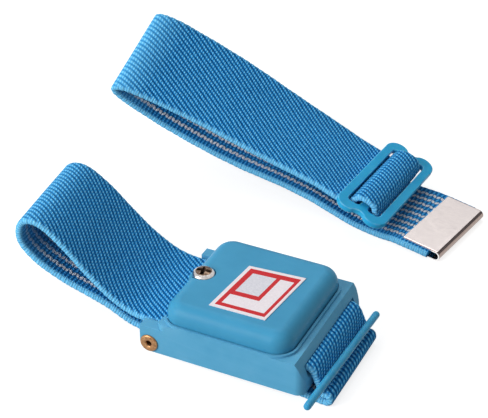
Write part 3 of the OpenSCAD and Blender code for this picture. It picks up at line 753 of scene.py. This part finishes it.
def scallop(s):
    """How far the edges stand out at length s: each turn of the yarn, uneven along the band."""
    phase = 0.9 * np.sin(s * 0.31) + 0.7 * np.sin(s * 0.83 + 2.0)
    turns = 0.14 * np.abs(np.cos(np.pi * s * 0.77 + phase))
    slow = 0.03 * np.cos(2 * np.pi * s * 0.137 + 1.0)
    quick = 0.03 * np.cos(2 * np.pi * s * 1.9 + 3 * phase)
    return turns + slow + quick - 0.20


def band(name, path, shape, body, mats, step=0.2, u0=0.0, fold_highlight_amount=0.0):
    """A band along a path of (x, z), put in its place by shape. Returns it with its length."""
    s, q, n = resampled(smooth_path(path, PATH_STEPS), step)
    ring, stretches = section()
    y, h = ring.T
    k, rows = len(ring), len(s)
    edge = np.clip((np.abs(y) - SCALLOP_FROM) / SCALLOP_EASE, 0, 1)
    across = y + np.sign(y) * edge * scallop(s)[:, None]
    # The face is a touch uneven, as elastic that has been handled.
    height = h * (1 - SWELL + SWELL * np.cos(2 * np.pi * s * 0.05)[:, None] * np.cos(y * 0.3))
    p = shape(np.stack([q[:, :1] + n[:, :1] * height, across, q[:, 1:] + n[:, 1:] * height], -1))

    u = s + u0
    faces, indices, uvs = [], [], []
    for j, (v0, v1, mat) in enumerate(stretches):
        j2 = (j + 1) % k
        for i in range(rows - 1):
            faces.append((i * k + j, i * k + j2, (i + 1) * k + j2, (i + 1) * k + j))
            indices.append(mat)
            uvs += [(u[i], v0), (u[i], v1), (u[i + 1], v1), (u[i + 1], v0)]
    for i, order in ((0, range(k - 1, -1, -1)), (rows - 1, range(k))):
        faces.append(tuple(i * k + j for j in order))
        indices.append(0)
        uvs += [(u[i], BAND_MID + h[j]) for j in order]
    o = piece(name, p.reshape(-1, 3), faces, mats, body, indices=indices)
    # Where the band turns back at its far left, it is painted paler, as a highlight of light catching loose fibres.
    fold_highlight = fold_highlight_amount * np.clip(1 - (q[:, 0] - q[:, 0].min()) / FOLD_HIGHLIGHT_REACH, 0, 1) ** 1.5
    values = np.repeat(fold_highlight, k).astype(np.float32)
    o.data.attributes.new("fold_highlight", "FLOAT", "POINT").data.foreach_set("value", values)
    o.data.uv_layers.new(name="weave").data.foreach_set("uv", np.array(uvs, np.float32).ravel())
    clean(o)
    return o, float(s[-1])


# ---------------------------------------------------------------- the strap's band
# The tail lies on the leaning right end, under the thin bar, then folds under the housing.
FACE_GAP, BAR_DROP = 0.15, 0.7
DRAPE_END, DRAPE_EASE = 2.6, 0.2
LEAN_OUT = np.array([math.cos(LEAN), math.sin(LEAN)])
STRAP_BEND = dict(start=-23, length=29, roll=0, sway=1.7, shear=0.12, axis_z=0, axis_rise=0)


def lean_down(d):
    """Point on the leaning right end, d down from the chin."""
    return np.array([BASE_X1 + d * math.sin(LEAN), CHIN_Z - d * math.cos(LEAN)])


def table_z(x):
    """Height of a band's centre that lies on the table, in the tipped housing frame."""
    return PIN_Z + (BAND_T / 2 - PIN_Z - (x - PIN_X) * math.sin(PITCH)) / math.cos(PITCH)


def clip_point(d):
    """Point d left of the pin in the strap's clip."""
    return [PIN_X - d * math.cos(STRAP_CLIP_TILT), PIN_Z + d * math.sin(STRAP_CLIP_TILT)]


FOLD_X, FOLD_LEAD = 20.4, 3
FOLD_Z = table_z(FOLD_X) + BAND_T + 0.4
# The tail ends 1 mm short of the contact plate.
PLATE_X, PLATE_L = 1.5, 20.0
TAIL_X = PLATE_X + PLATE_L / 2 + 1
strap_path = [
    clip_point(BAND_START), clip_point(5), [-26, 3.9], [-30.3, 6], [-37.1, 8], [-43.1, 10.5], [-47.5, 13.5],
    [-50.1, 16.8], [-49.4, 21.4], [-45.4, 22.2], [-40.2, 18.3], [-34.7, 12.7], [-29.6, 8.3], [-24.6, 5.5],
    [PIN_X - 2, BAND_Z],
    [BASE_X1 - END_LEAN - 0.6, BAND_Z],
    [BASE_X1 + (CHIN_Z - BAND_Z) * math.tan(LEAN) + (FACE_GAP + BAND_T / 2) / math.cos(LEAN), BAND_Z],
    list(lean_down(BAR_DROP) + LEAN_OUT * (FACE_GAP + BAND_T / 2)),
    list(lean_down(DRAPE_END) + LEAN_OUT * (FACE_GAP + BAND_T / 2 + DRAPE_EASE)),
    [FOLD_X - 1.8, FOLD_Z], [FOLD_X, FOLD_Z], [FOLD_X, table_z(FOLD_X)],
    [FOLD_X - FOLD_LEAD, table_z(FOLD_X - FOLD_LEAD)], [TAIL_X, table_z(TAIL_X)],
]
strap_band, strap_len = band(
    "strap_elastic_band", strap_path, lambda p: on_strap(twisted(p, **STRAP_BEND)), "strap", STRAP_WEAVE, fold_highlight_amount=0.7)
# The hole through which the contact screw passes inside the housing.
HOLE_R, HOLE_HALF, AXIS_R = SCREW_R + BAND_GAP, 2, 0.001
verts, faces = lathe([(AXIS_R, -HOLE_HALF), (HOLE_R, -HOLE_HALF), (HOLE_R, HOLE_HALF), (AXIS_R, HOLE_HALF)], 32)
cut(strap_band, piece("band_hole_cutter", on_strap(verts + [SCREW_X, SCREW_Y, BAND_Z]), faces, STRAP_WEAVE[:1]))
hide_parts("strap_band")


# ---------------------------------------------------------------- the spare band and its wrap over the slider's bar
SPARE_BEND = dict(start=-7, length=50, roll=23.6, sway=10.4, shear=0.08, axis_z=4.3, axis_rise=18)


def run_point(d):
    """Point of the upper run, d right of the slider's middle."""
    return [SLIDER_X + d * math.cos(RUN_ANGLE), RUN_Z - d * math.sin(RUN_ANGLE)]


spare_path = [
    [SPARE_CLIP_X - BAND_START, CLIP_OUT], [SPARE_CLIP_X - SPARE_PLATES - 1.5, CLIP_OUT], [11, 0.75], [4, 0.85],
    [-4.7, 2.8], [-15.5, 5.2], [-25.8, 6.7], [-36.4, 9.8], [-46.1, 14.4], [-51.8, 18.5], [-55.8, 21.9], [-57.2, 25.3],
    [-53.6, 25.6], [-46.4, 22.2], [-36, 17.7], [-25.7, 13.3], run_point(-21.6), run_point(0), run_point(3.4),
]
spare_band, spare_len = band(
    "spare_elastic_band", spare_path, lambda p: on_spare(turned(twisted(p, **SPARE_BEND))), "strap", SPARE_WEAVE,
    fold_highlight_amount=1.0)
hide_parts("spare_band")

WRAP_X = (SLIDER_W - SLIDER_BAR_W) / 4
WRAP_TOP, WRAP_FOOT = SLIDER_T / 2 + BAND_GAP + BAND_T / 2, -0.3
wrap_path = [
    [-WRAP_X - 0.5, WRAP_FOOT], [-WRAP_X + 0.1, WRAP_FOOT + 1.2], [-WRAP_X + 0.7, WRAP_TOP], [0, WRAP_TOP + 0.35],
    [WRAP_X - 0.7, WRAP_TOP], [WRAP_X - 0.1, WRAP_FOOT + 1.2], [WRAP_X + 0.5, WRAP_FOOT],
]
wrap, wrap_len = band("spare_band_hump", wrap_path, on_slider, "spare_slider", SPARE_WEAVE, step=0.15, u0=3.0)
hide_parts("spare_band_wrap")


# ---------------------------------------------------------------- housing, slider and bar
rounded("housing_base", "moulded_base", "strap", [HOUSING, HOUSING_EDGE], width=0.4, segments=3, angle=20)
rounded("housing_cover", "moulded_cover", "strap", [COVER, COVER_EDGE], width=0.14, segments=2, angle=35, dissolve=0.4)
rounded("spare_slider", "moulded_slider", "spare_slider", [SLIDER, SLIDER_EDGE], width=0.45, segments=3, angle=40)

BAR_R, BAR_L, BAR_Y, BAR_TURN = 0.8, 35.8, -2.9, math.radians(-2.4)
BAR_POINTS, BAR_ROWS, BAR_END_ROWS = 28, 72, 9
BAR_SEAM, BAR_SHRINK, BAR_SQUASH = 0.02, 0.03, 0.98


def bar_mesh():
    """Pill-ended bar, a little flattened, with the faint parting line of its mould."""
    # Rows as (y, share of the full radius).
    end = [math.radians(90 * i / BAR_END_ROWS) for i in range(BAR_END_ROWS)]
    straight = BAR_L / 2 - BAR_R
    rows = [(-straight - BAR_R * math.cos(a), math.sin(a)) for a in end]
    rows += [(-straight + t * 2 * straight, 1.0) for t in np.linspace(0, 1, BAR_ROWS)]
    rows += [(straight + BAR_R * math.cos(a), math.sin(a)) for a in end[::-1]]
    verts = []
    for y, share in rows:
        share = max(share, 0.02)
        uneven = 1 + 0.012 * math.sin(y * 0.9) + 0.008 * math.sin(y * 2.3 + 1)
        for j in range(BAR_POINTS):
            a = 2 * math.pi * j / BAR_POINTS
            seam = BAR_SEAM * math.exp(-(math.sin(a) / 0.12) ** 2)
            r = share * ((BAR_R - BAR_SHRINK) * uneven + seam)
            verts.append((r * math.cos(a), y, r * math.sin(a) * BAR_SQUASH))
    faces = tube(BAR_POINTS, len(rows))
    faces.append(tuple(range(BAR_POINTS - 1, -1, -1)))
    faces.append(tuple(len(verts) - BAR_POINTS + j for j in range(BAR_POINTS)))
    # Turned about the direction that the housing's right end faces.
    turn = np.array(Matrix.Rotation(BAR_TURN, 3, Vector((LEAN_OUT[0], 0, LEAN_OUT[1]))))
    x, z = lean_down(BAR_DROP) + LEAN_OUT * (FACE_GAP + BAND_T + BAND_GAP + BAR_R)
    return on_strap(np.array(verts) @ turn.T + [x, BAR_Y, z]), faces


bar = piece("moulded_strap_bar", *bar_mesh(), [BAR], "strap_bar")
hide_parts("strap_bar")


# ---------------------------------------------------------------- label
# Cut by hand, a little out of square: far left, far right, near right and near left corner, from the cover's middle.
LABEL_CORNERS = np.array([(-3.53, 5.19), (8.75, 6.2), (7.12, -10.01), (-4.98, -10.3)])
LABEL_T = 0.15
# Lines between the printed fields, as shares of the label's width and depth.
LABEL_COLUMNS = [0, 0.066, 0.142, 0.168, 0.582, 0.655, 0.893, 0.952, 1]
LABEL_ROWS = [0, 0.052, 0.145, 0.592, 0.676, 0.885, 0.952, 1]


def label_field(i, j):
    """Material of the field in column i and row j: 0 paper, 1 red, 2 the window."""
    strips = (2 <= i < 6 and j == 4) or (i == 5 and 2 <= j < 5)
    if i == 3 and j == 2:
        return 2
    return 1 if 1 <= i < 7 and 1 <= j < 6 and not strips else 0


def label_mesh():
    verts, faces, mats = [], [], []

    def at(p, q, z):
        c = LABEL_CORNERS
        x, y = (1 - q) * ((1 - p) * c[0] + p * c[1]) + q * ((1 - p) * c[3] + p * c[2])
        return (COVER_CX + x, y, COVER_TOP + z)

    # One sheet, cut into its printed fields, each of two by two quads.
    for i, (p0, p1) in enumerate(zip(LABEL_COLUMNS, LABEL_COLUMNS[1:])):
        for j, (q0, q1) in enumerate(zip(LABEL_ROWS, LABEL_ROWS[1:])):
            start = len(verts)
            verts += [at(p0 + (p1 - p0) * a / 2, q0 + (q1 - q0) * b / 2, LABEL_T) for a in range(3) for b in range(3)]
            for k in (start, start + 1, start + 3, start + 4):
                faces.append((k, k + 1, k + 4, k + 3))
                mats.append(label_field(i, j))
    # Its cut edges.
    square = [(0, 0), (1, 0), (1, 1), (0, 1)]
    for a, b in zip(square, square[1:] + square[:1]):
        start = len(verts)
        verts += [at(*a, 0.0), at(*b, 0.0), at(*b, LABEL_T), at(*a, LABEL_T)]
        faces.append((start, start + 1, start + 2, start + 3))
        mats.append(0)
    return on_strap(verts), faces, mats


verts, faces, mats = label_mesh()
label = piece("printed_label", verts, faces, [PAPER, INK, WINDOW], smooth=False, indices=mats)
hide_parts("cover_label")


# ---------------------------------------------------------------- screw
SCREW_AT = [SCREW_X, SCREW_Y, SEAT_Z]
THREAD_PITCH, THREAD_DEPTH = 0.36, 0.13
SCREW_RIM = 0.95
PATINA_R = 1.7
# Each tier of the cross recess: height over the seat, half the arm's length and half its width.
RECESS_TIERS = ((SCREW_HEAD_H + 0.2, 1.75, 0.46), (1.35, 1.25, 0.36), (0.8, 0.5, 0.24))
RECESS_TURN = 8


def screw_mesh():
    """Pan head and a shank with ridges, about the head's seat."""
    r, tip = SCREW_HEAD_R, SCREW_END - SEAT_Z
    profile = [(AXIS_R, tip), (SCREW_R - 0.25, tip), (SCREW_R, tip + 0.3)]
    z = tip + 0.45
    while z < -0.35:
        profile += [(SCREW_R, z), (SCREW_R - THREAD_DEPTH, z + THREAD_PITCH / 2)]
        z += THREAD_PITCH
    profile += [(SCREW_R, -0.05), (SCREW_R + 0.05, 0.0)]
    profile += [(r - 0.12, 0.0), (r - 0.02, 0.07), (r, 0.18), (r, 0.42), (r - 0.06, 0.5), (r - 0.05, SCREW_RIM - 0.05)]
    for degrees in range(5, 90, 8):
        a = math.radians(degrees)
        dome = (SCREW_HEAD_H - SCREW_RIM) * math.sin(a) ** 0.95
        profile.append(((r - 0.05) * math.cos(a) ** 0.92, SCREW_RIM + dome))
    return lathe(profile + [(AXIS_R, SCREW_HEAD_H)], 64)


def recess_mesh():
    """The cross recess, as two crossed wedges."""
    verts, faces = [], []
    for degrees in (RECESS_TURN, RECESS_TURN + 90):
        start = len(verts)
        for z, l, w in RECESS_TIERS:
            verts += list(spun([(-l, -w, z), (l, -w, z), (l, w, z), (-l, w, z)], math.radians(degrees)))
        faces += [tuple(start + k for k in f) for f in tube(4, len(RECESS_TIERS))]
        faces.append((start, start + 1, start + 2, start + 3))
        faces.append((start + 11, start + 10, start + 9, start + 8))
    return np.array(verts), faces


verts, faces = screw_mesh()
screw = piece("pan_head_screw", on_strap(verts + SCREW_AT), faces, [NICKEL, PATINA, RECESS])
clean(screw, 4e-6)
verts, faces = recess_mesh()
cutter = piece("recess_cutter", on_strap(verts + SCREW_AT), faces, [RECESS])
clean(cutter)
cut(screw, cutter, use_self=True, material_mode="TRANSFER")
# The rim stays bright, the dome inside it has gone brown.
crown = Vector(on_strap([SCREW_X, SCREW_Y, SEAT_Z + SCREW_HEAD_H])) * MM
for f in screw.data.polygons:
    if f.material_index == 0 and (f.center - crown).length < PATINA_R * MM:
        f.material_index = 1
sharp_by_angle(screw.data, 38)
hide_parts("contact_screw")


# ---------------------------------------------------------------- pin
PIN_COLLAR = 0.08


def pin_mesh():
    """Hollow rivet along Y: a tube whose ends are rolled over into domed collars."""
    half = BASE_W / 2
    mid, r = (PIN_HEAD_R + PIN_HOLE_R) / 2, (PIN_HEAD_R - PIN_HOLE_R) / 2
    outer = [(PIN_R, 0.0), (PIN_R, half), (PIN_HEAD_R - 0.1, half)]
    for degrees in range(0, 181, 20):
        a = math.radians(degrees)
        dome = (PIN_HEAD_T - PIN_COLLAR) * abs(math.sin(a)) ** 0.7
        outer.append((mid + r * math.cos(a), half + PIN_COLLAR + dome))
    bore = [(PIN_HOLE_R, half - 1.0), (PIN_HOLE_R, 1.0 - half)]
    verts, faces = lathe(outer + bore + [(x, -z) for x, z in outer[::-1]], 48)
    return verts[:, [0, 2, 1]], faces


verts, faces = pin_mesh()
pin = piece("hollow_brass_pin", on_strap(verts + [PIN_X, 0, PIN_Z]), faces, [BRASS])
clean(pin, 2e-6)
sharp_by_angle(pin.data, 50)
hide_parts("anchor_pin")


# ---------------------------------------------------------------- clips
CLIP_MATERIALS = [STEEL, CREASE, CUT, BURR, ROLL]
ON_PLATE, ON_CREASE, ON_CUT, ON_BURR, ON_ROLL = range(5)
BURR_W = 0.16


def clip_profile(plates):
    """Folded sheet as (x, z) about its roll: flat plates, a rolled channel at the fold, and a crease where the roll
    meets the top plate. Returns the outer and the inner line."""
    o, i = CLIP_OUT, CLIP_OUT - CLIP_SHEET
    outer = [(-plates, o)] + [(x, o) for x in np.linspace(-plates + 0.5, 0.20, 12)]
    outer += [(0.40, o - 0.02), (0.50, o - 0.15), (0.64, o - 0.22), (0.78, o - 0.20)]
    for degrees in np.linspace(50, -90, 15):
        a = math.radians(degrees)
        outer.append((o * math.cos(a), (o if degrees > -60 else o - 0.02) * math.sin(a)))
    outer += [(x, -o) for x in np.linspace(-0.4, -plates, 12)]
    back = list(np.linspace(-plates + 0.5, -0.9, 8))
    inner = [(-plates, -i)] + [(x, -i) for x in back]
    inner += [(CLIP_BORE * math.cos(a), CLIP_BORE * math.sin(a)) for a in np.radians(np.linspace(-105, 105, 21))]
    inner += [(x, i) for x in back[::-1]] + [(-plates, i)]
    return outer, inner


def clip_material(x, z, at_end):
    """Material of a strip of the outer line that starts at (x, z)."""
    if 0.38 < x < 0.80 and z > 0.5:
        return ON_CREASE
    if x > 0.55:
        return ON_ROLL
    return ON_BURR if at_end and z > 1.1 else ON_PLATE


def clip_piece(name, plates, place, node):
    outer, inner = clip_profile(plates)
    n_out, n_in = len(outer), len(inner)
    k = n_out + n_in
    # Ends eased by a narrow burr line; columns across the width keep the sheet's slight waviness.
    half = CLIP_W / 2
    ys = [-half, -half + BURR_W, *np.linspace(-half + 0.5, half - 0.5, 24), half - BURR_W, half]
    last = len(ys) - 1
    verts = []
    for i, y in enumerate(ys):
        shrink = 0.04 if i in (0, last) else 0.0
        for x, z in outer + inner:
            dent = 0.010 * math.sin(y * 0.7 + x * 0.4) + 0.006 * math.sin(y * 1.9 + x)
            sunk = 0.012 + dent * 0.6 if abs(z) > 1.1 else 0.0
            verts.append((x, y, z - math.copysign(shrink + sunk, z)))
    faces, mats = tube(k, len(ys)), []
    for i in range(last):
        mats += [clip_material(x, z, i in (0, last - 1)) for x, z in outer] + [ON_PLATE] * n_in
    # The cut end of the sheet, as a strip between outer and inner line.
    for i in (0, last):
        for j in range(n_out - 1):
            t0, t1 = (round(k - 1 - m * (n_in - 1) / (n_out - 1)) for m in (j, j + 1))
            f = [j, j + 1, t1] + ([t0] if t0 != t1 else [])
            faces.append(tuple(i * k + m for m in (f if i else f[::-1])))
            mats.append(ON_CUT)
    o = piece(name, place(np.array(verts)), faces, CLIP_MATERIALS, indices=mats)
    clean(o)
    sharp_by_angle(o.data, 35)
    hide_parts(node)


clip_piece("spare_sheet_clip", SPARE_PLATES, on_spare_clip, "spare_end_clip")
clip_piece("strap_sheet_clip", STRAP_PLATES, on_strap_clip, "strap_end_clip")


# ---------------------------------------------------------------- pieces that keep their CAD shape
def dress(node, mat):
    me = NODES[node].data
    me.materials.clear()
    me.materials.append(mat)


dress("screw_nut", NUT)
dress("ring_terminal", TIN)
dress("resistor_body", ceramic())
dress("resistor_leads", TIN)
dress("contact_plate", STAINLESS)
dress("plate_rivet", TIN)

# ---------------------------------------------------------------- floor, world and lamps
FLOOR_HALF, FLOOR_GREY, FLOOR_GLOW = 4.0, 0.47, 0.76
# The world is white for the camera and in reflections, and dimmer as fill light.
WORLD_FILL, WORLD_SEEN = 0.28, 0.95


def floor():
    """White table that stays white in the render and still takes shadows."""
    me = bpy.data.meshes.new("floor")
    s = FLOOR_HALF
    me.from_pydata([(-s, -s, 0), (s, -s, 0), (s, s, 0), (-s, s, 0)], [], [(0, 1, 2, 3)])
    o = bpy.data.objects.new("floor", me)
    scene.collection.objects.link(o)
    m = Mat("floor_white")
    m.t.nodes.remove(m.bsdf)
    rays = m.node("ShaderNodeLightPath").outputs
    seen = m.add(rays["Is Camera Ray"], m.add(rays["Is Glossy Ray"], rays["Is Transmission Ray"]), clamp=True)
    soft = m.node("ShaderNodeBsdfDiffuse")
    soft.inputs["Color"].default_value = (FLOOR_GREY, FLOOR_GREY, FLOOR_GREY, 1)
    glow = m.node("ShaderNodeEmission")
    glow.inputs["Color"].default_value = (1, 1, 1, 1)
    m.put(glow.inputs["Strength"], m.mul(seen, FLOOR_GLOW))
    both = m.node("ShaderNodeAddShader")
    m.put(both.inputs[0], soft.outputs[0])
    m.put(both.inputs[1], glow.outputs[0])
    m.put(m.out.inputs["Surface"], both.outputs[0])
    me.materials.append(m.m)


def studio():
    world = bpy.data.worlds.new("studio")
    scene.world = world
    world.use_nodes = True
    w = Nodes(world.node_tree)
    rays = w.node("ShaderNodeLightPath").outputs
    seen = w.add(rays["Is Camera Ray"], rays["Is Glossy Ray"], clamp=True)
    background = w.t.nodes["Background"]
    w.put(background.inputs["Strength"], w.span(seen, 0.0, 1.0, WORLD_FILL, WORLD_SEEN))
    background.inputs["Color"].default_value = (1, 1, 1, 1)


def lamp(name, azimuth, elevation, distance, size, power):
    """Soft box, aimed at the middle. Azimuth 0 stands in front (-Y), 90 at +X; metres and watts."""
    data = bpy.data.lights.new(name, "AREA")
    data.shape, data.size, data.energy = "SQUARE", size, power
    o = bpy.data.objects.new(name, data)
    a, e = math.radians(azimuth), math.radians(elevation)
    back = Vector((math.sin(a) * math.cos(e), -math.cos(a) * math.cos(e), math.sin(e)))
    o.location = back * distance
    o.rotation_mode = "QUATERNION"
    o.rotation_quaternion = (-back).to_track_quat("-Z", "Y")
    scene.collection.objects.link(o)


floor()
studio()
lamp("key_front_left", azimuth=-36, elevation=25, distance=0.9, size=0.5, power=7.8)
lamp("top_back_left", azimuth=-150, elevation=62, distance=0.9, size=0.6, power=2.9)

scene.view_settings.view_transform = "Standard"
